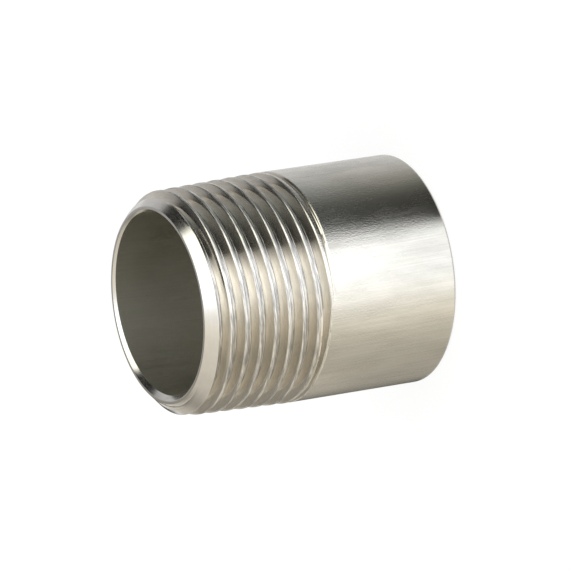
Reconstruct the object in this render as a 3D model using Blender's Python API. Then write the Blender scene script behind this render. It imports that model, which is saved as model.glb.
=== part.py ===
"""A short steel pipe nipple: a plain pipe end below, a taper pipe thread above.

Metres, +Z up. The nipple stands on its plain end, whose middle is the origin, so the
threaded end and its open bore look up.
"""

import math

import bmesh
import bpy

# Pipe
OUTSIDE_DIAMETER = 0.0337
WALL_THICKNESS = 0.00345
OVERALL_LENGTH = 0.040
PLAIN_END_BREAK = 0.00025

# The pipe's wall is uneven: its bore is off centre, in a direction between +X and +Y
BORE_OFF_CENTRE = 0.00024
BORE_LIES_TOWARDS = math.radians(32.0)

# Threaded end: the bore's mouth is broken true to the outside, so that the break is widest
# where the wall is thickest. Round it are a flat ring and a wide chamfer.
LEAST_MOUTH_BREAK = 0.00031
MOUTH_BREAK_ANGLE = math.radians(45.0)
END_RING_WIDTH = 0.00041
CHAMFER_ANGLE = math.radians(45.0)

# Taper pipe thread, right-hand, with the Whitworth form of 11 threads to the inch
THREAD_PITCH = 0.0254 / 11.0
FLANK_HALF_ANGLE = math.radians(27.5)
DEPTH_TO_PITCH = 0.640327
ROUNDING_TO_PITCH = 0.137329
CREST_FLAT_TO_PITCH = 0.09
TAPER_ON_DIAMETER = 1.0 / 16.0

# Where the thread lies: the crest is full size at the gauge plane, a little inside the pipe's
# own outside. At the last groove the tool backs out to a light score, which goes most of the
# way round again before the tool leaves the steel.
GAUGE_LENGTH = 0.0104
CREST_INSET_AT_GAUGE = 0.000226
THREAD_REACH = 0.02068
RUN_OUT_TURN = math.radians(50.0)
SCORE_TURN = math.radians(305.0)
SCORE_DEPTH = 0.0005
LIFT_OFF_TURN = math.radians(50.0)
TOOL_LEAVES_AT = math.radians(-100.0)

# Facets round the pipe, and how far the cutting tool reaches past the steel and rises over it
SEGMENTS = 72
TOOL_CLEARANCE = 0.0012
TOOL_MARGIN = 0.00002
WELD_DISTANCE = 0.000002
SHARP_EDGE_ANGLE = math.radians(24.0)

OUTSIDE_RADIUS = OUTSIDE_DIAMETER / 2.0
BORE_RADIUS = OUTSIDE_RADIUS - WALL_THICKNESS
MOUTH_RADIUS = BORE_RADIUS + BORE_OFF_CENTRE + LEAST_MOUTH_BREAK
TAPER_SLOPE = TAPER_ON_DIAMETER / 2.0
THREAD_DEPTH = DEPTH_TO_PITCH * THREAD_PITCH


def crest_radius(from_end):
    """The radius of the thread's crests at a distance from the threaded end."""
    return OUTSIDE_RADIUS - CREST_INSET_AT_GAUGE + (from_end - GAUGE_LENGTH) * TAPER_SLOPE


def bore_wall(angle):
    """How far the bore's wall is from the pipe's own axis in this direction."""
    turned_by = angle - BORE_LIES_TOWARDS
    across = BORE_OFF_CENTRE * math.sin(turned_by)
    return BORE_OFF_CENTRE * math.cos(turned_by) + math.sqrt(BORE_RADIUS**2 - across**2)


def blank_profile(angle):
    """The pipe's section before threading, as (radius, height), outer side going up."""
    bore = bore_wall(angle)
    mouth_break = (MOUTH_RADIUS - bore) / math.tan(MOUTH_BREAK_ANGLE)
    ring_radius = MOUTH_RADIUS + END_RING_WIDTH
    chamfer_slope = math.tan(CHAMFER_ANGLE)
    chamfer_length = (crest_radius(0.0) - ring_radius) / (chamfer_slope - TAPER_SLOPE)
    cone_length = GAUGE_LENGTH + CREST_INSET_AT_GAUGE / TAPER_SLOPE
    return [
        (OUTSIDE_RADIUS - PLAIN_END_BREAK, 0.0),
        (OUTSIDE_RADIUS, PLAIN_END_BREAK),
        (OUTSIDE_RADIUS, OVERALL_LENGTH - cone_length),
        (crest_radius(chamfer_length), OVERALL_LENGTH - chamfer_length),
        (ring_radius, OVERALL_LENGTH),
        (MOUTH_RADIUS, OVERALL_LENGTH),
        (bore, OVERALL_LENGTH - mouth_break),
        (bore, PLAIN_END_BREAK),
        (bore + PLAIN_END_BREAK, 0.0),
    ]


def on_circle(radius, angle, height):
    return (radius * math.cos(angle), radius * math.sin(angle), height)


def mesh_object(name, points, faces):
    mesh = bpy.data.meshes.new(name)
    mesh.from_pydata(points, [], faces)
    mesh.validate()
    thing = bpy.data.objects.new(name, mesh)
    bpy.context.scene.collection.objects.link(thing)
    return thing


def turned_blank():
    """The section carried round Z into one closed tube."""
    rows = len(blank_profile(0.0))
    points = []
    for step in range(SEGMENTS):
        angle = math.tau * step / SEGMENTS
        points += [on_circle(radius, angle, height) for radius, height in blank_profile(angle)]
    faces = []
    for step in range(SEGMENTS):
        here = step * rows
        there = (step + 1) % SEGMENTS * rows
        for row in range(rows):
            above = (row + 1) % rows
            faces.append((here + row, there + row, there + above, here + above))
    return mesh_object("nipple", points, faces)


def tool_outline():
    """The threading tool's outline as (along the pipe, out from the groove's bottom).

    It runs from the side of the threaded end to the other: a rounded tip, straight flanks,
    and shoulders that round over the crests on both sides.
    """
    tip_half_width = ROUNDING_TO_PITCH * THREAD_PITCH * math.cos(FLANK_HALF_ANGLE)
    tip_height = ROUNDING_TO_PITCH * THREAD_PITCH * (1.0 - math.sin(FLANK_HALF_ANGLE))
    shoulder_width = THREAD_PITCH / 2.0 - tip_half_width
    shoulder_height = THREAD_DEPTH - tip_height
    crest_edge = THREAD_PITCH / 2.0 * (1.0 - CREST_FLAT_TO_PITCH)
    over_crest = tip_height / 4.0
    run = (crest_edge - shoulder_width) / tip_height * over_crest
    half = [
        (tip_half_width, tip_height),
        (shoulder_width, shoulder_height),
        (crest_edge + run, THREAD_DEPTH + over_crest),
        (crest_edge + run, THREAD_DEPTH + TOOL_CLEARANCE),
    ]
    left = [(-along, out) for along, out in reversed(half)]
    return left + [(0.0, 0.0)] + half


def share_done(to_go, turn):
    """How much of a stage is done, 0 to 1, when to_go is what is left of its turn."""
    return 1.0 - min(max(to_go / turn, 0.0), 1.0)


def tool_lift(from_end, to_go):
    """How far the tool has backed out of the groove with this much of its turn left to go."""
    groove_bottom = crest_radius(from_end) - THREAD_DEPTH
    score_lift = OUTSIDE_RADIUS - SCORE_DEPTH - groove_bottom
    backed_out = share_done(to_go - SCORE_TURN, RUN_OUT_TURN) * score_lift
    return backed_out + share_done(to_go, LIFT_OFF_TURN) * (SCORE_DEPTH + TOOL_MARGIN)


def thread_cutter():
    """The space that the tool sweeps: a helix down the taper that backs out along its flank."""
    outline = tool_outline()
    rows = len(outline)
    step_turn = math.tau / SEGMENTS
    last_step = math.floor(TOOL_LEAVES_AT / step_turn)
    in_air = THREAD_REACH + THREAD_PITCH / 2.0 + TOOL_CLEARANCE / 2.0
    steps = math.ceil(in_air / THREAD_PITCH * SEGMENTS)
    points = []
    for step in range(steps + 1):
        to_go = step * step_turn
        angle = (last_step + step) * step_turn
        from_end = THREAD_REACH - to_go / math.tau * THREAD_PITCH
        lift = tool_lift(from_end, to_go)
        backed = lift * math.tan(FLANK_HALF_ANGLE)
        root = crest_radius(from_end) - THREAD_DEPTH + lift
        for along, out in outline:
            radius = root + out + along * TAPER_SLOPE
            height = OVERALL_LENGTH - from_end - along + backed
            points.append(on_circle(radius, angle, height))
    faces = [tuple(range(rows)), tuple(reversed(range(steps * rows, (steps + 1) * rows)))]
    for step in range(steps):
        here = step * rows
        there = here + rows
        for row in range(rows):
            beside = (row + 1) % rows
            faces.append((here + beside, here + row, there + row, there + beside))
    cutter = mesh_object("thread_cutter", points, faces)
    cutter.hide_render = True
    cutter.display_type = "WIRE"
    return cutter


def cut_thread(blank, cutter):
    """Cuts the groove, welds the facets that the cut leaves thinner than a hair, and shades."""
    cut = blank.modifiers.new("thread", "BOOLEAN")
    cut.operation = "DIFFERENCE"
    cut.solver = "EXACT"
    cut.object = cutter
    graph = bpy.context.evaluated_depsgraph_get()
    threaded = bpy.data.meshes.new_from_object(blank.evaluated_get(graph))
    blank.modifiers.remove(cut)
    plain = blank.data
    blank.data = threaded
    bpy.data.meshes.remove(plain)
    bpy.data.objects.remove(cutter)
    shape = bmesh.new()
    shape.from_mesh(threaded)
    bmesh.ops.remove_doubles(shape, verts=shape.verts, dist=WELD_DISTANCE)
    bmesh.ops.dissolve_degenerate(shape, edges=shape.edges, dist=WELD_DISTANCE)
    bmesh.ops.triangulate(shape, faces=shape.faces)
    shape.to_mesh(threaded)
    shape.free()
    threaded.name = blank.name
    threaded.shade_smooth()
    threaded.set_sharp_from_angle(angle=SHARP_EDGE_ANGLE)


def steel():
    """Plain stainless steel, drawn and turned."""
    material = bpy.data.materials.new("stainless_steel")
    material.use_nodes = True
    shader = material.node_tree.nodes["Principled BSDF"]
    shader.inputs["Base Color"].default_value = (0.60, 0.58, 0.54, 1.0)
    shader.inputs["Metallic"].default_value = 1.0
    shader.inputs["Roughness"].default_value = 0.28
    return material


def main():
    for thing in list(bpy.data.objects):
        bpy.data.objects.remove(thing)
    nipple = turned_blank()
    cut_thread(nipple, thread_cutter())
    nipple.data.materials.clear()
    nipple.data.materials.append(steel())


main()
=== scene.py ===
import math

import bmesh
import bpy
import numpy as np
from mathutils import Matrix, Vector


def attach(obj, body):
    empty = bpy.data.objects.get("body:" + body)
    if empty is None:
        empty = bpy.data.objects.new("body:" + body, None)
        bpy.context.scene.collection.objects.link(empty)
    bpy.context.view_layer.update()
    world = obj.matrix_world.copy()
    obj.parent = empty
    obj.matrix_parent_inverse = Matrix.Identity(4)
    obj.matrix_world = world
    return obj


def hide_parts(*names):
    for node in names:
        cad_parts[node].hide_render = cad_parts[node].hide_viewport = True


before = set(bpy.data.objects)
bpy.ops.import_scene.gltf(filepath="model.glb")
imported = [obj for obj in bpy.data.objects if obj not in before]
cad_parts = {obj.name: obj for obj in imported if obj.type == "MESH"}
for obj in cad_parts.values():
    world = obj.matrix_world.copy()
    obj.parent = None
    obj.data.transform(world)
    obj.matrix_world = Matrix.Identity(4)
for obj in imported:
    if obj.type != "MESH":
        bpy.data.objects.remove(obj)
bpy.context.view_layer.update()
print("frame loaded")

mm = 0.001

# The CAD nipple is cut in 72 facets. This one has the same sizes and the same helix in finer
# steps, with small rounds on its edges and a narrow flat at the groove's bottom.

nippleSizes = {
    "outsideRadius": 16.85 * mm,
    "boreRadius": 13.40 * mm,
    "boreOffCentre": 0.24 * mm,
    "boreTowards": math.radians(32.0),   # from +X towards +Y
    "length": 40.0 * mm,
    "plainEndBreak": 0.25 * mm,
    "mouthRadius": 13.95 * mm,           # edge between the mouth's break and the flat ring
    "ringRadius": 14.36 * mm,            # edge between the flat ring and the chamfer
    "edgeRound": 0.10 * mm,              # how far the chamfer's outer edge blends
    "taperRound": 0.02 * mm,             # how far the taper blends into the pipe
    "mouthRound": 0.04 * mm,             # round on both edges of the mouth's break
    "cornerRound": 0.05 * mm,            # round on the other edges
    "chamferPart": 0.3 * mm,             # from here the end's section comes down the chamfer
    "barrelPart": 5.0 * mm,              # and up to here it goes on up the barrel
}

threadSizes = {
    "pitch": 25.4 / 11.0 * mm,
    "depth": 0.640327 * 25.4 / 11.0 * mm,
    "flank": math.radians(27.5),
    "slope": 1.0 / 32.0,                 # of the crests, against the axis
    "gauge": 10.4 * mm,                  # from the end to where the crests have their nominal size
    "crestInset": 0.226 * mm,            # how far inside the pipe the crests lie there
    "reach": 20.68 * mm,                 # from the end to where the tool leaves
    "runOutTurn": math.radians(50.0),    # the groove gets shallow over this turn
    "scoreTurn": math.radians(305.0),    # the light groove goes on for this turn after it
    "scoreDepth": 0.5 * mm,
    "liftOffTurn": math.radians(50.0),   # the tool leaves the steel over this turn
    "leavesAt": math.radians(-100.0),
    "standOff": 0.02 * mm,               # how far outside the pipe the tool ends
    "passes": 12,                        # turns of the tool, a few more than the reach holds
    "rootHalf": 0.1925 * mm,             # half of the groove's flat bottom
    "rootRound": 0.05 * mm,              # how far the groove's lower corners blend
    "crestRound": 0.22 * mm,             # how far the crest's edges blend
}

# Rows of the grid across one pitch, from a crest's middle to a root's middle: they lie closest
# where the profile bends. Each pair is (end of the stretch in pitches, rows in it).
gridSteps = {
    "columns": 240,
    "stretches": [(0.030, 1), (0.145, 7), (0.385, 4), (0.450, 5), (0.500, 1)],
    "from": 0.08 * mm,                   # the helical grid's two ends, from the threaded end
    "to": 21.9 * mm,
    "barrelRows": 16,
    "barrelStep": 1.0 * mm,
    "boreRows": 11,
    "arcSteps": 3,                       # steps in the round on an edge
    "weld": 0.5e-6,                      # points closer than this become one
    "sharpFrom": math.radians(50.0),
}

# what made each face, in the order of the finishes on the mesh
madeAs = {"pipe": 0, "chamfer": 1, "thread": 2, "bore": 3, "plainEnd": 4}


def crestRadius(fromEnd):
    # the crests lie on a taper
    s = threadSizes
    return nippleSizes["outsideRadius"] - s["crestInset"] + (fromEnd - s["gauge"]) * s["slope"]


def lesserOf(a, b, blend):
    # the lower of two surfaces, rounded where they meet
    near = np.clip(0.5 + 0.5 * (b - a) / blend, 0.0, 1.0)
    return b + (a - b) * near - blend * near * (1.0 - near)


def shareDone(toGo, turn):
    # 0 while more than this turn is to go, 1 when none is
    return 1.0 - np.clip(toGo / turn, 0.0, 1.0)


def toolOut(along):
    # the tool's edge above the groove's bottom: flat tip, round corners, straight flanks
    s = threadSizes
    rise = (np.abs(along) - s["rootHalf"]) / math.tan(s["flank"])
    return -lesserOf(-rise, np.zeros_like(rise), s["rootRound"])


def outerSurface(fromEnd, angle):
    # radius of the outside at each place, and what made it
    s = threadSizes
    n = nippleSizes
    outside = np.full_like(fromEnd, n["outsideRadius"])
    taper = lesserOf(crestRadius(fromEnd), outside, n["taperRound"])
    chamfer = n["ringRadius"] + fromEnd
    blank = lesserOf(taper, chamfer, n["edgeRound"])
    surface = blank
    firstPass = np.mod(angle - s["leavesAt"], math.tau)
    lastGroove = s["reach"] - firstPass / math.tau * s["pitch"]
    # over its last half turn the groove is too light to carry the thread's finish
    lastGroove = np.where(firstPass < math.pi, lastGroove - s["pitch"], lastGroove)
    madeBy = np.where(fromEnd < lastGroove, madeAs["thread"], madeAs["pipe"])
    madeBy = np.where(chamfer < taper, madeAs["chamfer"], madeBy)
    for turn in range(s["passes"]):
        toGo = firstPass + turn * math.tau
        passAt = s["reach"] - toGo / math.tau * s["pitch"]
        scoreLift = n["outsideRadius"] - s["scoreDepth"] - (crestRadius(passAt) - s["depth"])
        lift = shareDone(toGo - s["scoreTurn"], s["runOutTurn"]) * scoreLift
        lift = lift + shareDone(toGo, s["liftOffTurn"]) * (s["scoreDepth"] + s["standOff"])
        centre = passAt - lift * math.tan(s["flank"])
        root = crestRadius(passAt) - s["depth"] + lift
        tool = root + toolOut(fromEnd - centre) + (fromEnd - centre) * s["slope"]
        madeBy = np.where(tool < surface, madeAs["thread"], madeBy)
        surface = np.minimum(surface, lesserOf(blank, tool, s["crestRound"]))
    return surface, madeBy


def boreWall(angle):
    # how far the bore's wall is from the pipe's axis
    n = nippleSizes
    turned = angle - n["boreTowards"]
    across = n["boreOffCentre"] * np.sin(turned)
    return n["boreOffCentre"] * np.cos(turned) + np.sqrt(n["boreRadius"] ** 2 - across ** 2)


def roundedCorner(before, corner, after, radius):
    # points of a small arc that replaces a corner of the section
    a = Vector(before) - Vector(corner)
    b = Vector(after) - Vector(corner)
    reach = radius / math.tan(a.angle(b) / 2.0)
    start = Vector(corner) + a.normalized() * reach
    end = Vector(corner) + b.normalized() * reach
    points = []
    for k in range(gridSteps["arcSteps"] + 1):
        f = k / gridSteps["arcSteps"]
        points.append(start * (1 - f) ** 2 + Vector(corner) * 2 * f * (1 - f) + end * f ** 2)
    return points


def innerSection(angle):
    # from the flat ring through the mouth's break, down the bore and round the plain end;
    # each point comes with what made the surface after it
    n = nippleSizes
    bore = float(boreWall(angle))
    top = n["length"]
    endBreak = n["plainEndBreak"]
    mouthEnd = top - (n["mouthRadius"] - bore)
    # the first and the last corner only give a direction
    corners = [
        (n["ringRadius"] + n["chamferPart"], top - n["chamferPart"]),
        (n["ringRadius"], top),
        (n["mouthRadius"], top),
        (bore, mouthEnd),
        (bore, endBreak),
        (bore + endBreak, 0.0),
        (n["outsideRadius"] - endBreak, 0.0),
        (n["outsideRadius"], endBreak),
        (n["outsideRadius"], endBreak + n["barrelPart"]),
    ]
    # the corners between them: how round they are, and what made the surface after each
    plain = (n["cornerRound"], "plainEnd")
    made = [
        (n["cornerRound"], "chamfer"), (n["mouthRound"], "chamfer"), (n["mouthRound"], "bore"),
        plain, plain, plain, (n["cornerRound"], "pipe"),
    ]
    section = []
    for k, (size, madeBy) in enumerate(made):
        points = roundedCorner(corners[k], corners[k + 1], corners[k + 2], size)
        section += [(p.x, p.y, madeAs[madeBy]) for p in points]
        if madeBy == "bore":
            for step in range(1, gridSteps["boreRows"] + 1):
                f = step / (gridSteps["boreRows"] + 1.0)
                section.append((bore, mouthEnd * (1 - f) + endBreak * f, madeAs["bore"]))
    return section


def rowPlaces():
    # places of the rows in one pitch, -0.5 to 0.5, with a crest's middle at 0
    half = [0.0]
    for end, rows in gridSteps["stretches"]:
        begin = half[-1]
        half += [begin + (end - begin) * (k + 1) / rows for k in range(rows)]
    return np.array([-h for h in reversed(half[1:])] + half[:-1])


def makeNipple():
    columns = gridSteps["columns"]
    pitch = threadSizes["pitch"]
    inPitch = rowPlaces()
    rows = len(inPitch)
    # a crest's middle at angle 0, counted from the groove where the tool leaves
    crestAt = threadSizes["reach"] + (threadSizes["leavesAt"] / math.tau + 0.5) * pitch
    crestAt -= math.floor(crestAt / pitch) * pitch
    turns = math.ceil((gridSteps["to"] - crestAt) / pitch) + 2
    along = (np.arange(turns)[:, None] + inPitch[None, :]).reshape(-1)
    angles = np.arange(columns) * math.tau / columns
    place = crestAt + pitch * (along[None, :] - angles[:, None] / math.tau)
    place = np.clip(place, gridSteps["from"], gridSteps["to"])
    spread = np.broadcast_to(angles[:, None], place.shape)
    radius, madeBy = outerSurface(place, spread)
    height = nippleSizes["length"] - place
    grid = np.stack([radius * np.cos(spread), radius * np.sin(spread), height], axis=-1)
    points = [tuple(p) for p in grid.reshape(-1, 3)]
    madeBy = madeBy.reshape(-1)

    faces = []
    finish = []
    width = turns * rows
    for i in range(columns):
        last = i == columns - 1
        for j in range(width - 1):
            here = i * width + j
            if last:
                # the helix comes round one pitch further on
                there = max(j - rows, 0)
                above = max(j + 1 - rows, 0)
            else:
                there = (i + 1) * width + j
                above = there + 1
            faces.append((here, here + 1, above, there))
            finish.append(max(madeBy[here], madeBy[here + 1]))

    # circular rows close the body: down the barrel, round the plain end and up the bore
    barrelRows = []
    for k in range(1, gridSteps["barrelRows"] + 1):
        down = height.min() - k * gridSteps["barrelStep"]
        barrelRows.append((nippleSizes["outsideRadius"], down, madeAs["pipe"]))
    first = len(points)
    sections = []
    for angle in angles:
        section = barrelRows + list(reversed(innerSection(angle)))
        sections.append(section)
        points += [(r * math.cos(angle), r * math.sin(angle), z) for r, z, made in section]
    depth = len(sections[0])

    def ringAt(i):
        # from the grid's lower end through the circular rows to its upper end
        start = first + i * depth
        return [i * width + width - 1] + list(range(start, start + depth)) + [i * width]

    for i in range(columns):
        ring = ringAt(i)
        ringAfter = ringAt((i + 1) % columns)
        made = [maker for r, z, maker in sections[i]] + [madeAs["chamfer"]]
        for k in range(len(made)):
            faces.append((ring[k], ring[k + 1], ringAfter[k + 1], ringAfter[k]))
        finish += made

    mesh = bpy.data.meshes.new("steelNipple")
    mesh.from_pydata(points, [], faces)
    mesh.polygons.foreach_set("material_index", np.array(finish, dtype=np.int32))
    shape = bmesh.new()
    shape.from_mesh(mesh)
    bmesh.ops.remove_doubles(shape, verts=shape.verts, dist=gridSteps["weld"])
    bmesh.ops.dissolve_degenerate(shape, edges=shape.edges, dist=gridSteps["weld"])
    bmesh.ops.recalc_face_normals(shape, faces=shape.faces)
    shape.to_mesh(mesh)
    shape.free()
    mesh.shade_smooth()
    mesh.set_sharp_from_angle(angle=gridSteps["sharpFrom"])
    nipple = bpy.data.objects.new("steelNipple", mesh)
    bpy.context.scene.collection.objects.link(nipple)
    weighted = nipple.modifiers.new("evenShading", "WEIGHTED_NORMAL")
    weighted.keep_sharp = True
    return nipple


nipple = makeNipple()
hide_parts("nipple")
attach(nipple, "root")
print("nipple made:", len(nipple.data.polygons), "faces")


# Steel finishes. Sizes in the node trees are in millimetres. Colours are what the bare metal
# returns, save the painted shade towards the bore's mouth. Those without a lineTwist have their
# lines round the pipe, as a lathe tool leaves them.

finishSettings = {
    "drawn": {
        "colour": (0.625, 0.605, 0.555, 1.0),
        "dull": (0.42, 0.405, 0.365, 1.0),
        "roughness": (0.20, 0.31),
        "lines": (5.0, 5.0, 0.055),      # how many noise cells in a millimetre, across and along
        "lineTwist": 0.0015,             # the draw lines lean a little: radians in a millimetre
        "lineShade": 0.36,
        "grain": 4.4,                    # noise cells in a millimetre
        "grainHeight": 0.038,
        "lineHeight": 0.0040,
        "cloud": 0.42,
        "cloudStretch": (1.0, 1.0, 0.32),
        "cloudTint": 0.06,
    },
    "turned": {
        "colour": (0.60, 0.585, 0.555, 1.0),
        "dull": (0.47, 0.45, 0.43, 1.0),
        "roughness": (0.13, 0.24),
        "lines": (0.22, 0.22, 9.0),
        "lineShade": 0.18,
        "grain": 5.0,
        "grainHeight": 0.0010,
        "lineHeight": 0.0008,
        "cloud": 0.35,
        "cloudTint": 0.06,
    },
    "bore": {
        "colour": (0.40, 0.385, 0.315, 1.0),
        "dull": (0.29, 0.275, 0.225, 1.0),
        "paintedMouthShade": 0.72,              # painted shade: the share of the colour left at the mouth, darkened against the light that falls in there
        "mouthReach": 16.0,              # and how far in the painted shade goes
        "roughness": (0.52, 0.68),
        "lines": (3.2, 3.2, 0.06),
        "lineTwist": 0.002,
        "lineShade": 0.40,
        "grain": 3.0,
        "grainHeight": 0.010,
        "lineHeight": 0.004,
        "cloud": 0.16,
        "cloudTint": 0.06,
    },
    "sawn": {
        "colour": (0.58, 0.565, 0.53, 1.0),
        "dull": (0.46, 0.44, 0.42, 1.0),
        "roughness": (0.25, 0.40),
        "lines": (0.16, 0.16, 7.0),
        "lineShade": 0.24,
        "grain": 4.0,
        "grainHeight": 0.0020,
        "lineHeight": 0.0020,
        "cloud": 0.30,
        "cloudTint": 0.05,
    },
}

# the thread has three zones: the crests' lands, the flanks and the groove's bottom
threadFinish = {
    "flank": (0.70, 0.665, 0.60, 1.0),
    "flankByCrest": (0.56, 0.525, 0.46, 1.0),
    "flankRange": (0.1, 1.3),            # depths between which one flank colour becomes the other
    "flankMetal": (0.86, 1.0),           # the torn steel is a little matt by the crest
    "metalRange": (0.1, 1.2),
    "crest": (0.675, 0.657, 0.62, 1.0),
    "root": (0.52, 0.50, 0.465, 1.0),
    "flankRoughness": 0.085,
    "crestRoughness": 0.34,
    "rootRoughness": 0.16,
    "cloudRoughness": 0.04,
    "crestEdge": 0.10,                   # how deep, in millimetres, the crest's finish reaches
    "rootEdge": 1.37,                    # and from what depth the root's begins
    "edgeWidth": 0.05,
    "lines": (6.0, 0.40),                # noise cells in a millimetre, across and along the land
    "lineSlant": 0.04,                   # the strands cross the land at this slope
    "lineSharp": (0.26, 0.74),
    "lineDark": (0.10, 0.10, 0.105, 1.0),
    "lineShade": 0.66,
    "flankShade": 0.13,
    "lineHeight": 0.0005,
    "cloud": 0.9,
    "cloudTint": 0.07,
}

# what all the finishes share
steelNoise = {
    "wideCells": 0.45,                   # cells of the wide lines to one of the thin lines
    "wideShare": 0.45,                   # how much of a line's tone the wide ones give
    "lineRange": (0.32, 0.68),           # the stretch of the noise that becomes 0 to 1
    "cloudRange": (0.3, 0.7),
    "tintCells": 1.6,                    # cells of the tint to one of the tone
    "tintShift": (31.0, 17.0, 5.0),      # keeps the tint's noise clear of the tone's
    "pink": (1.0, 0.80, 0.86, 1.0),
    "green": (0.84, 1.0, 0.80, 1.0),
    "cloudShade": 0.45,                  # how much of the dull colour a cloud brings
    "roughRange": (0.2, 0.8),
    "ringSlope": -0.5,                   # how height counts beside radius in the lathe's lines
}


def feed(tree, socket, value):
    if isinstance(value, bpy.types.NodeSocket):
        tree.links.new(value, socket)
    else:
        socket.default_value = value


def calc(tree, operation, *values):
    node = tree.nodes.new("ShaderNodeMath")
    node.operation = operation
    for socket, value in zip(node.inputs, values):
        feed(tree, socket, value)
    return node.outputs[0]


def vectorCalc(tree, operation, *values):
    node = tree.nodes.new("ShaderNodeVectorMath")
    node.operation = operation
    for socket, value in zip(node.inputs, values):
        feed(tree, socket, value)
    return node.outputs[0]


def threePart(tree, x, y, z):
    node = tree.nodes.new("ShaderNodeCombineXYZ")
    for socket, value in zip(node.inputs, (x, y, z)):
        feed(tree, socket, value)
    return node.outputs[0]


def blendColours(tree, share, a, b, kind="MIX"):
    node = tree.nodes.new("ShaderNodeMix")
    node.data_type = "RGBA"
    node.blend_type = kind
    feed(tree, node.inputs["Factor"], share)
    feed(tree, node.inputs[6], a)
    feed(tree, node.inputs[7], b)
    return node.outputs[2]


def spread(tree, value, low, high, toLow, toHigh):
    node = tree.nodes.new("ShaderNodeMapRange")
    for name, amount in zip(("Value", "From Min", "From Max", "To Min", "To Max"),
                            (value, low, high, toLow, toHigh)):
        feed(tree, node.inputs[name], amount)
    return node.outputs[0]


def noise(tree, point, scale, detail, roughness=0.5):
    node = tree.nodes.new("ShaderNodeTexNoise")
    feed(tree, node.inputs["Vector"], point)
    feed(tree, node.inputs["Scale"], scale)
    node.inputs["Detail"].default_value = detail
    node.inputs["Roughness"].default_value = roughness
    return node.outputs[0]


def newGroup(name, inputs, outputs):
    tree = bpy.data.node_groups.new(name, "ShaderNodeTree")
    for way, sockets in (("INPUT", inputs), ("OUTPUT", outputs)):
        for socketName, kind in sockets:
            tree.interface.new_socket(socketName, in_out=way, socket_type="NodeSocket" + kind)
    return tree, tree.nodes.new("NodeGroupInput"), tree.nodes.new("NodeGroupOutput")


def useGroup(tree, group, **values):
    node = tree.nodes.new("ShaderNodeGroup")
    node.node_tree = group
    for name, value in values.items():
        feed(tree, node.inputs[name], value)
    return node


def makePipePlace():
    # where a point lies on the pipe, in millimetres: from the axis, and along the thread's helix
    tree, given, out = newGroup(
        "pipePlace",
        [("Point", "Vector")],
        [("Radius", "Float"), ("Depth", "Float"), ("Across", "Float"), ("Along", "Float")],
    )
    s = threadSizes
    pitch = s["pitch"] / mm
    split = tree.nodes.new("ShaderNodeSeparateXYZ")
    feed(tree, split.inputs[0], given.outputs["Point"])
    x, y, z = split.outputs
    squares = calc(tree, "ADD", calc(tree, "MULTIPLY", x, x), calc(tree, "MULTIPLY", y, y))
    radius = calc(tree, "SQRT", squares)
    fromEnd = calc(tree, "SUBTRACT", nippleSizes["length"] / mm, z)
    angle = calc(tree, "ARCTAN2", y, x)
    crestAtEnd = (nippleSizes["outsideRadius"] - s["crestInset"] - s["gauge"] * s["slope"]) / mm
    crest = calc(tree, "MULTIPLY_ADD", fromEnd, s["slope"], crestAtEnd)
    crestAt = s["reach"] / mm + (s["leavesAt"] / math.tau + 0.5) * pitch
    turned = calc(tree, "MULTIPLY_ADD", angle, 1.0 / math.tau,
                  calc(tree, "DIVIDE", calc(tree, "SUBTRACT", fromEnd, crestAt), pitch))
    whole = calc(tree, "ROUND", turned)
    across = calc(tree, "MULTIPLY", calc(tree, "SUBTRACT", turned, whole), pitch)
    unwound = calc(tree, "MULTIPLY_ADD", whole, -math.tau, angle)
    along = calc(tree, "MULTIPLY", unwound, nippleSizes["outsideRadius"] / mm)
    feed(tree, out.inputs["Radius"], radius)
    feed(tree, out.inputs["Depth"], calc(tree, "SUBTRACT", crest, radius))
    feed(tree, out.inputs["Across"], across)
    feed(tree, out.inputs["Along"], along)
    return tree


def makeFineLines():
    # stretched noise that reads as tool or draw marks, 0 to 1 with most of it near the middle
    tree, given, out = newGroup(
        "fineLines",
        [("Point", "Vector"), ("Cells", "Vector")],
        [("Line", "Float")],
    )
    s = steelNoise
    point = vectorCalc(tree, "MULTIPLY", given.outputs["Point"], given.outputs["Cells"])
    wide = noise(tree, point, s["wideCells"], detail=2.0)
    thin = noise(tree, point, 1.0, detail=2.0, roughness=0.6)
    both = calc(tree, "ADD", calc(tree, "MULTIPLY", wide, s["wideShare"]),
                calc(tree, "MULTIPLY", thin, 1.0 - s["wideShare"]))
    feed(tree, out.inputs["Line"], spread(tree, both, *s["lineRange"], 0.0, 1.0))
    return tree


def makeClouds():
    # slow changes of tone and tint over the metal
    tree, given, out = newGroup(
        "clouds",
        [("Point", "Vector"), ("Cells", "Float"), ("Tint", "Float")],
        [("Tone", "Float"), ("Colour", "Color")],
    )
    s = steelNoise
    white = (1.0, 1.0, 1.0, 1.0)
    cells = given.outputs["Cells"]
    tone = noise(tree, given.outputs["Point"], cells, detail=3.0, roughness=0.55)
    shifted = vectorCalc(tree, "ADD", given.outputs["Point"], s["tintShift"])
    hue = noise(tree, shifted, calc(tree, "MULTIPLY", cells, s["tintCells"]), detail=2.0)
    side = spread(tree, hue, *s["cloudRange"], 0.0, 1.0)
    pinkToGreen = blendColours(tree, side, s["pink"], s["green"])
    tinted = blendColours(tree, given.outputs["Tint"], white, pinkToGreen)
    feed(tree, out.inputs["Tone"], spread(tree, tone, *s["cloudRange"], 0.0, 1.0))
    feed(tree, out.inputs["Colour"], tinted)
    return tree


pipePlace = makePipePlace()
fineLines = makeFineLines()
clouds = makeClouds()


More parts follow.
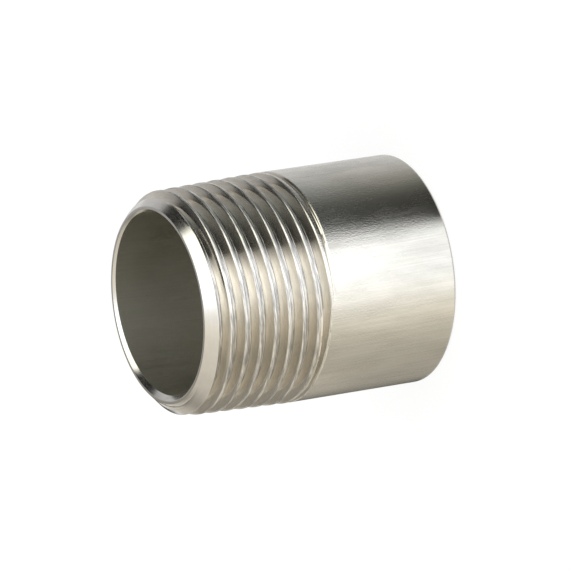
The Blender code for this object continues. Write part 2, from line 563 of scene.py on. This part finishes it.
def steelShader(name):
    # a bare metal material, and the place on the nipple in millimetres
    material = bpy.data.materials.new(name)
    material.use_nodes = True
    tree = material.node_tree
    shader = tree.nodes["Principled BSDF"]
    shader.inputs["Metallic"].default_value = 1.0
    place = tree.nodes.new("ShaderNodeTexCoord").outputs["Object"]
    point = vectorCalc(tree, "MULTIPLY", place, (1.0 / mm, 1.0 / mm, 1.0 / mm))
    return material, tree, shader, point


def bumpOf(tree, height, millimetres):
    bump = tree.nodes.new("ShaderNodeBump")
    bump.inputs["Strength"].default_value = 1.0
    bump.inputs["Distance"].default_value = millimetres * mm
    feed(tree, bump.inputs["Height"], height)
    return bump.outputs["Normal"]


def steelFinish(name, settings):
    s = finishSettings[settings]
    material, tree, shader, point = steelShader(name)
    split = tree.nodes.new("ShaderNodeSeparateXYZ")
    feed(tree, split.inputs[0], point)
    if "lineTwist" in s:
        # lines along the pipe, leaning a little
        turn = tree.nodes.new("ShaderNodeVectorRotate")
        turn.rotation_type = "Z_AXIS"
        feed(tree, turn.inputs["Vector"], point)
        feed(tree, turn.inputs["Angle"], calc(tree, "MULTIPLY", split.outputs["Z"], s["lineTwist"]))
        linePoint = turn.outputs[0]
    else:
        # lines round the pipe
        where = useGroup(tree, pipePlace, Point=point)
        across = calc(tree, "MULTIPLY_ADD", split.outputs["Z"], steelNoise["ringSlope"],
                      where.outputs["Radius"])
        linePoint = threePart(tree, split.outputs["X"], split.outputs["Y"], across)
    lines = useGroup(tree, fineLines, Point=linePoint, Cells=s["lines"]).outputs["Line"]
    cloudPoint = vectorCalc(tree, "MULTIPLY", point, s.get("cloudStretch", (1.0, 1.0, 1.0)))
    cloud = useGroup(tree, clouds, Point=cloudPoint, Cells=s["cloud"], Tint=s["cloudTint"])
    tone = cloud.outputs["Tone"]
    grain = noise(tree, point, s["grain"], detail=2.0, roughness=0.6)
    # colour
    shade = spread(tree, lines, 0.0, 1.0, 0.0, s["lineShade"])
    cloudShade = spread(tree, tone, 0.0, 1.0, 0.0, steelNoise["cloudShade"])
    dulled = blendColours(tree, calc(tree, "ADD", shade, cloudShade), s["colour"], s["dull"])
    colour = blendColours(tree, 1.0, dulled, cloud.outputs["Colour"], "MULTIPLY")
    # painted shade: the bore's colour darkens towards the mouth, evening out the light that falls
    # in there
    if "paintedMouthShade" in s:
        top = nippleSizes["length"] / mm
        paintedShade = spread(tree, split.outputs["Z"], top - s["mouthReach"], top, 1.0, s["paintedMouthShade"])
        colour = vectorCalc(tree, "MULTIPLY", colour, threePart(tree, paintedShade, paintedShade, paintedShade))
    feed(tree, shader.inputs["Base Color"], colour)
    # gloss and relief
    middle = calc(tree, "MULTIPLY", calc(tree, "ADD", lines, tone), 0.5)
    rough = spread(tree, middle, *steelNoise["roughRange"], *s["roughness"])
    feed(tree, shader.inputs["Roughness"], rough)
    relief = s["grainHeight"] + s["lineHeight"]
    share = s["grainHeight"] / relief
    height = calc(tree, "ADD", calc(tree, "MULTIPLY", grain, share),
                  calc(tree, "MULTIPLY", lines, 1.0 - share))
    feed(tree, shader.inputs["Normal"], bumpOf(tree, height, relief))
    return material


def threadSteel():
    s = threadFinish
    material, tree, shader, point = steelShader("threadSteel")
    where = useGroup(tree, pipePlace, Point=point)
    depth = where.outputs["Depth"]
    along = where.outputs["Along"]
    slanted = calc(tree, "MULTIPLY_ADD", along, s["lineSlant"], where.outputs["Across"])
    linePoint = threePart(tree, slanted, along, 0.0)
    lines = useGroup(tree, fineLines, Point=linePoint, Cells=(*s["lines"], 1.0)).outputs["Line"]
    lines = spread(tree, lines, *s["lineSharp"], 0.0, 1.0)
    cloud = useGroup(tree, clouds, Point=point, Cells=s["cloud"], Tint=s["cloudTint"])
    # the three zones, by depth under the crests
    onCrest = spread(tree, depth, s["crestEdge"], s["crestEdge"] + s["edgeWidth"], 1.0, 0.0)
    inRoot = spread(tree, depth, s["rootEdge"], s["rootEdge"] + s["edgeWidth"], 0.0, 1.0)
    onLand = calc(tree, "ADD", onCrest, inRoot)
    # colour
    towardsCrest = spread(tree, depth, *s["flankRange"], 1.0, 0.0)
    flank = blendColours(tree, towardsCrest, s["flank"], s["flankByCrest"])
    toned = blendColours(tree, onCrest, flank, s["crest"])
    toned = blendColours(tree, inRoot, toned, s["root"])
    lineShare = spread(tree, onLand, 0.0, 1.0, s["flankShade"], s["lineShade"])
    dark = calc(tree, "MULTIPLY", lines, lineShare)
    shaded = blendColours(tree, dark, toned, s["lineDark"])
    colour = blendColours(tree, 1.0, shaded, cloud.outputs["Colour"], "MULTIPLY")
    feed(tree, shader.inputs["Base Color"], colour)
    # gloss and relief
    metal = spread(tree, depth, *s["metalRange"], *s["flankMetal"])
    feed(tree, shader.inputs["Metallic"], calc(tree, "MAXIMUM", metal, onCrest))
    rough = spread(tree, onCrest, 0.0, 1.0, s["flankRoughness"], s["crestRoughness"])
    rough = calc(tree, "MULTIPLY_ADD", inRoot, s["rootRoughness"] - s["flankRoughness"], rough)
    rough = calc(tree, "MULTIPLY_ADD", cloud.outputs["Tone"], s["cloudRoughness"], rough)
    feed(tree, shader.inputs["Roughness"], rough)
    height = calc(tree, "MULTIPLY", lines, onLand)
    feed(tree, shader.inputs["Normal"], bumpOf(tree, height, s["lineHeight"]))
    return material


# in the order of madeAs
finishes = [
    steelFinish("drawnSteel", "drawn"),
    steelFinish("turnedSteel", "turned"),
    threadSteel(),
    steelFinish("boreSteel", "bore"),
    steelFinish("sawnSteel", "sawn"),
]
for finish in finishes:
    nipple.data.materials.append(finish)
print("finishes made")


# Floor, air and light. A light tent stands round the nipple, and a card lies round its foot.
# Only polished steel shows them: bright in front, a dark slot towards +X, grey cloth behind it.

studio = {
    "floorHalf": 3.0,
    "floorGlow": 0.815,
    "floorPaint": (0.22, 0.22, 0.22, 1.0),
    "air": (1.0, 1.0, 1.0, 1.0),
    "airGlow": 1.0,
}

# Directions are in degrees, 0 in front and + towards -X, and heights are in degrees too.
tent = {
    "radius": 0.6,
    "step": 2,                           # degrees
    "foot": 16.9 * mm,
    "lift": 0.3 * mm,
    "cardStrips": 360,                   # on each side of the front
    # the card by distance from the foot: (distance, most glow, share of farGlow in it)
    "reach": [(0.0, 1.75, 0.0), (0.022, 1.75, 0.0), (0.034, 9.0, 0.6), (0.042, 9.0, 1.0),
              (0.052, 2.1, 1.0), (0.080, 2.1, 1.0), (0.110, 2.1, 1.3), (0.25, 2.1, 1.3)],
    # how much brighter the card's far part is, by direction
    "farGlow": [
        (-112, 1.0), (-84, 1.35), (-60, 1.35), (-50, 1.5), (-46, 2.4), (-42, 1.3), (-30, 1.0),
        (16, 1.0), (36, 0.88), (80, 0.90), (100, 1.12), (115, 1.38), (130, 1.35), (155, 1.0),
    ],
    # the card's brightness by direction
    "floorGlow": [
        (-180, 0.90), (-155, 0.90), (-139, 0.82), (-123, 0.72), (-108, 0.57), (-98, 0.38),
        (-88, 0.20), (-75, 0.08), (-56, 0.045), (-47, 0.08), (-43, 0.55), (-36, 1.25), (-28, 2.20),
        (-18, 2.90), (2, 2.75), (14, 2.10), (24, 1.68), (38, 1.38), (55, 1.09), (71, 0.84),
        (87, 0.70), (103, 0.64), (119, 0.58), (135, 0.53), (147, 0.45), (156, 0.28), (165, 0.12),
        (180, 0.08),
    ],
    # the same for the tent's wall in front and towards -X
    "wallGlow": [
        (-60, 2.40), (-10, 2.60), (10, 2.00), (29, 1.45), (54, 1.25), (75, 1.15), (92, 1.02),
        (107, 0.92), (120, 0.83), (132, 0.77), (153, 0.75), (180, 0.80),
    ],
    "highFrom": 126.0,                   # up to this direction the wall dims higher up, by highGlow
    "highSoft": 3.0,
    # by height: how the wall dims, and the brightness behind the slot and in it
    "highGlow": [(-28, 1.0), (10, 1.0), (18, 0.52), (60, 0.52), (90, 1.0)],
    "rearGlow": [(-28, 0.80), (18, 0.78), (34, 0.50), (50, 0.38), (70, 0.60), (90, 1.0)],
    "slotGlow": [(-28, 0.06), (16, 0.05), (34, 0.02), (90, 0.02)],
    # the slot's two edges by height, and how soft they are
    "slotFront": [(-28, -43), (0, -43), (14, -50), (30, -72), (42, -90), (60, -104), (90, -120)],
    "slotBack": [(-28, -96), (10, -118), (20, -123), (26, -127), (34, -138), (42, -142), (50, -150),
                 (60, -165), (90, -172)],
    "edge": 1.6,
    "backEdge": 1.3,
    # the card's far part is a little blue in the slot
    "farTints": [
        (-120, (1.0, 1.0, 1.0)), (-108, (0.92, 1.0, 1.12)), (-52, (0.92, 1.0, 1.12)),
        (-44, (1.0, 1.0, 1.0)),
    ],
    # cloth: a little yellow in the slot, a touch blue in front, warm towards -X
    "tints": [
        (-180, (0.99, 0.99, 1.0)), (-130, (0.99, 0.99, 0.99)), (-110, (1.0, 0.99, 0.96)),
        (-90, (1.0, 1.01, 0.91)), (-50, (1.0, 1.01, 0.91)), (-44, (0.97, 1.0, 1.04)),
        (8, (0.97, 1.0, 1.04)), (50, (1.0, 0.945, 0.83)), (180, (1.0, 0.945, 0.83)),
    ],
}


def flatSheet(name, corners):
    mesh = bpy.data.meshes.new(name)
    mesh.from_pydata(corners, [], [tuple(range(len(corners)))])
    sheet = bpy.data.objects.new(name, mesh)
    bpy.context.scene.collection.objects.link(sheet)
    return sheet


def floorMaterial():
    # glows for the camera and in reflections, and takes the nipple's shadow as plain paint
    material = bpy.data.materials.new("paleFloor")
    material.use_nodes = True
    tree = material.node_tree
    tree.nodes.clear()
    path = tree.nodes.new("ShaderNodeLightPath").outputs
    seen = calc(tree, "MAXIMUM", path["Is Camera Ray"], path["Is Glossy Ray"])
    seen = calc(tree, "MAXIMUM", seen, path["Is Transmission Ray"])
    glow = tree.nodes.new("ShaderNodeEmission")
    feed(tree, glow.inputs["Strength"], calc(tree, "MULTIPLY", seen, studio["floorGlow"]))
    paint = tree.nodes.new("ShaderNodeBsdfDiffuse")
    paint.inputs["Color"].default_value = studio["floorPaint"]
    both = tree.nodes.new("ShaderNodeAddShader")
    tree.links.new(glow.outputs[0], both.inputs[0])
    tree.links.new(paint.outputs[0], both.inputs[1])
    out = tree.nodes.new("ShaderNodeOutputMaterial")
    tree.links.new(both.outputs[0], out.inputs["Surface"])
    return material


def readCurve(curve, x):
    return float(np.interp(x, [p[0] for p in curve], [p[1] for p in curve]))


def tintAt(tints, direction):
    at = [p[0] for p in tints]
    return np.array([np.interp(direction, at, [p[1][k] for p in tints]) for k in range(3)])


def clothColour(glow, direction, far=0.0):
    tint = tintAt(tent["tints"], direction)
    tint = tint * (1.0 + min(far, 1.0) * (tintAt(tent["farTints"], direction) - 1.0))
    return [float(c) * glow for c in tint] + [1.0]


def passed(x, edge, soft):
    # 1 well before the edge, 0 well past it
    steps = min(max((x - edge) / soft, -60), 60)
    return 1.0 / (1.0 + math.exp(steps))


def tentGlow(direction, height):
    bright = readCurve(tent["wallGlow"], direction)
    high = 1.0 - passed(direction, tent["highFrom"], tent["highSoft"])
    bright *= 1.0 + high * (readCurve(tent["highGlow"], height) - 1.0)
    inSlot = passed(direction, readCurve(tent["slotFront"], height), tent["edge"])
    pastSlot = passed(direction, readCurve(tent["slotBack"], height), tent["backEdge"])
    rear = readCurve(tent["rearGlow"], height)
    slot = readCurve(tent["slotGlow"], height)
    return bright * (1 - inSlot) + slot * inSlot * (1 - pastSlot) + rear * pastSlot


def glowCloth():
    # shows each point's own glow
    material = bpy.data.materials.new("tentCloth")
    material.use_nodes = True
    tree = material.node_tree
    tree.nodes.clear()
    value = tree.nodes.new("ShaderNodeAttribute")
    value.attribute_name = "glow"
    emit = tree.nodes.new("ShaderNodeEmission")
    feed(tree, emit.inputs["Color"], value.outputs["Color"])
    out = tree.nodes.new("ShaderNodeOutputMaterial")
    tree.links.new(emit.outputs[0], out.inputs["Surface"])
    return material


def glowSheet(name, grid, glow, material):
    # a sheet whose points carry their own brightness
    columns = len(grid[0])
    points = [p for row in grid for p in row]
    faces = []
    for i in range(len(grid) - 1):
        for j in range(columns - 1):
            a = i * columns + j
            faces.append((a, a + 1, a + columns + 1, a + columns))
    mesh = bpy.data.meshes.new(name)
    mesh.from_pydata(points, [], faces)
    value = mesh.attributes.new("glow", "FLOAT_COLOR", "POINT")
    value.data.foreach_set("color", [c for row in glow for g in row for c in g])
    mesh.materials.append(material)
    sheet = bpy.data.objects.new(name, mesh)
    bpy.context.scene.collection.objects.link(sheet)
    sheet.visible_camera = False
    sheet.visible_diffuse = False
    sheet.visible_shadow = False
    sheet.visible_transmission = False
    return sheet


def towards(direction, height=0.0):
    # 0 looks to the front, -Y; positive turns towards -X
    d = math.radians(direction)
    e = math.radians(height)
    return Vector((-math.sin(d) * math.cos(e), -math.cos(d) * math.cos(e), math.sin(e)))


def makeTent(cloth):
    grid = []
    glow = []
    for height in range(-tent["step"], 91, tent["step"]):
        row = []
        rowGlow = []
        for direction in range(-180, 181, tent["step"]):
            row.append(tuple(towards(direction, height) * tent["radius"]))
            rowGlow.append(clothColour(tentGlow(direction, height), direction))
        grid.append(row)
        glow.append(rowGlow)
    glowSheet("lightTent", grid, glow, cloth)


def makeFootCard(cloth):
    # each strip starts at the pipe's foot and runs the way that place mirrors
    grid = []
    glow = []
    strips = tent["cardStrips"]
    for step in range(-strips, strips + 1):
        place = 90.0 * step / strips
        direction = 2.0 * place
        foot = towards(place) * tent["foot"]
        run = towards(direction)
        row = []
        rowGlow = []
        for reach, most, far in tent["reach"]:
            p = foot + run * reach
            row.append((p.x, p.y, tent["lift"]))
            value = readCurve(tent["floorGlow"], direction)
            value *= 1.0 + far * (readCurve(tent["farGlow"], direction) - 1.0)
            rowGlow.append(clothColour(min(value, most), direction, far))
        grid.append(row)
        glow.append(rowGlow)
    glowSheet("footCard", grid, glow, cloth)


half = studio["floorHalf"]
corners = [(-half, -half, 0), (half, -half, 0), (half, half, 0), (-half, half, 0)]
floor = flatSheet("paleFloor", corners)
floor.data.materials.append(floorMaterial())
world = bpy.data.worlds.new("studioAir")
bpy.context.scene.world = world
world.use_nodes = True
air = world.node_tree.nodes["Background"]
air.inputs["Color"].default_value = studio["air"]
air.inputs["Strength"].default_value = studio["airGlow"]
cloth = glowCloth()
makeTent(cloth)
makeFootCard(cloth)
print("studio made")

# the camera stands where the photo was taken from, with the same roll
photoView = {
    "place": (0.0000976, -0.77066, 0.42720),
    "right": (-0.15263, -0.46262, -0.87332),
    "up": (0.98828, -0.07146, -0.13487),
    "back": (0.0, -0.88367, 0.46811),
    "lens": 378.95,
    "sensor": 36.0,
    "near": 0.05,
    "far": 20.0,
}

lens = bpy.data.cameras.new("photoCamera")
lens.lens = photoView["lens"]
lens.sensor_width = photoView["sensor"]
lens.clip_start = photoView["near"]
lens.clip_end = photoView["far"]
camera = bpy.data.objects.new("photoCamera", lens)
bpy.context.scene.collection.objects.link(camera)
turned = Matrix((photoView["right"], photoView["up"], photoView["back"])).transposed().to_4x4()
camera.matrix_world = Matrix.Translation(photoView["place"]) @ turned
bpy.context.scene.camera = camera
bpy.context.scene.view_settings.view_transform = "Standard"
print("camera set")
